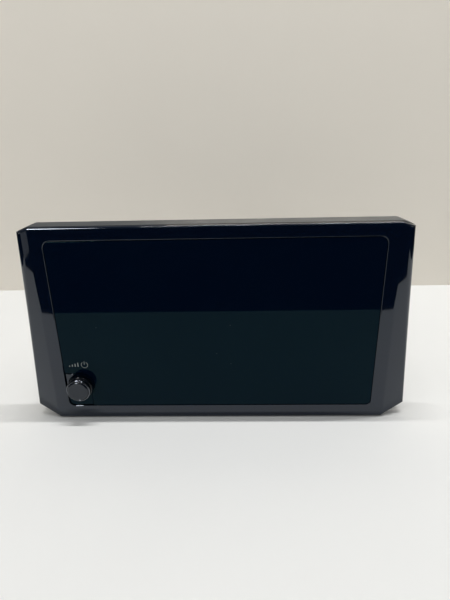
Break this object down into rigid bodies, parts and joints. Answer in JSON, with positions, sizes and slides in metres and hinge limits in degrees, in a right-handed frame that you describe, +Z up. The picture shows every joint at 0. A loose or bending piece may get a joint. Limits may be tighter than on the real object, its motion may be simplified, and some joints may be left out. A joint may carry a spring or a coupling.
{
  "type": "dashboard touchscreen receiver",
  "caption": "Wide black touchscreen pod with cut corners, faceted gloss bezel and a push-turn volume knob, on a vented steel receiver chassis.",
  "frame": {"origin": "middle of the whole object in X and Y, on the plane it stands on", "axes": "+X to the viewer's right, +Y from the glass into the chassis, +Z up"},
  "size_m": [0.2544, 0.1264, 0.134],
  "materials": {
    "gloss_black": "piano black, clear gloss with fine swirl marks",
    "cover_glass": "flat glass, clear gloss, dark backing",
    "tape_black": "matt foam tape",
    "touch_film": "smooth film",
    "lcd_glass": "smooth dark glass",
    "diffuser": "satin sheet",
    "guide_clear": "polished acrylic",
    "reflector_white": "matt white film",
    "led_yellow": "board with small lamps",
    "tray_steel": "pressed sheet",
    "frame_plastic": "moulded, fine texture",
    "plate_steel": "galvanised sheet",
    "screw_steel": "machined, satin",
    "screw_black": "black zinc",
    "knob_side": "satin black",
    "knob_ring": "bright cut chamfer",
    "knob_face": "satin, fine concentric lines",
    "shaft_steel": "machined",
    "encoder_plastic": "moulded",
    "encoder_metal": "pressed",
    "encoder_black": "moulded",
    "board_green": "solder mask over glass fibre board",
    "chip_black": "moulded",
    "flex_orange": "flexible film",
    "shell_plastic": "fine moulded grain",
    "standoff_brass": "machined",
    "chassis_steel": "galvanised sheet",
    "cap_sleeve": "printed sleeve",
    "sink_black": "black anodised",
    "sink_plain": "extruded",
    "socket_white": "moulded",
    "pin_gold": "plated",
    "socket_metal": "pressed",
    "bracket_steel": "yellow passivated sheet",
    "ribbon_white": "film"
  },
  "bodies": {
    "display": {"front_bezel": "gloss_black", "cover_glass": "cover_glass", "glass_tape": "tape_black", "touch_sensor": "touch_film", "lcd_cell": "lcd_glass", "optical_films": "diffuser", "light_guide": "guide_clear", "reflector_sheet": "reflector_white", "led_bar": "led_yellow", "backlight_tray": "tray_steel", "mid_frame": "frame_plastic", "support_plate": "plate_steel", "plate_screws": "screw_steel", "knob_collar": "gloss_black", "encoder_frame": "encoder_metal", "encoder_body": "encoder_black", "switch_dome": "screw_steel", "knob_board": "board_green", "knob_board_screws": "screw_steel", "display_board": "board_green", "display_board_screws": "screw_steel", "display_driver": "chip_black", "lcd_flex": "flex_orange", "knob_flex": "flex_orange", "rear_shell": "shell_plastic", "shell_screws": "screw_black", "standoffs": "standoff_brass", "chassis_screws": "screw_steel", "chassis_tray": "chassis_steel", "chassis_cover": "chassis_steel", "cover_screws": "screw_steel", "main_board": "board_green", "board_screws": "screw_steel", "system_chip": "chip_black", "chip_heat_sink": "sink_plain", "tuner_shield": "socket_metal", "capacitors": "cap_sleeve", "amplifier_chip": "chip_black", "heat_sink": "sink_black", "sink_screws": "screw_steel", "power_connector": "socket_white", "power_pins": "pin_gold", "antenna_sockets": "socket_metal", "antenna_pins": "pin_gold", "data_socket": "socket_metal", "left_bracket": "bracket_steel", "right_bracket": "bracket_steel", "bracket_screws": "screw_steel", "display_cable": "ribbon_white"},
    "rotor": {"encoder_rotor": "encoder_plastic"},
    "knob": {"knob_cap": "knob_side", "knob_ring": "knob_ring", "knob_face": "knob_face", "encoder_shaft": "shaft_steel"}
  },
  "joints": [
    {"name": "knob_turn", "type": "hinge", "parent": "display", "child": "rotor", "pos_m": [-0.0924, -0.05485, 0.0263], "axis": [0, 1, 0], "continuous": true},
    {"name": "knob_press", "type": "slide", "parent": "rotor", "child": "knob", "axis": [0, 1, 0], "range_m": [0, 0.0005], "stiffness_N_per_m": 600, "springref_m": -0.002}
  ]
}
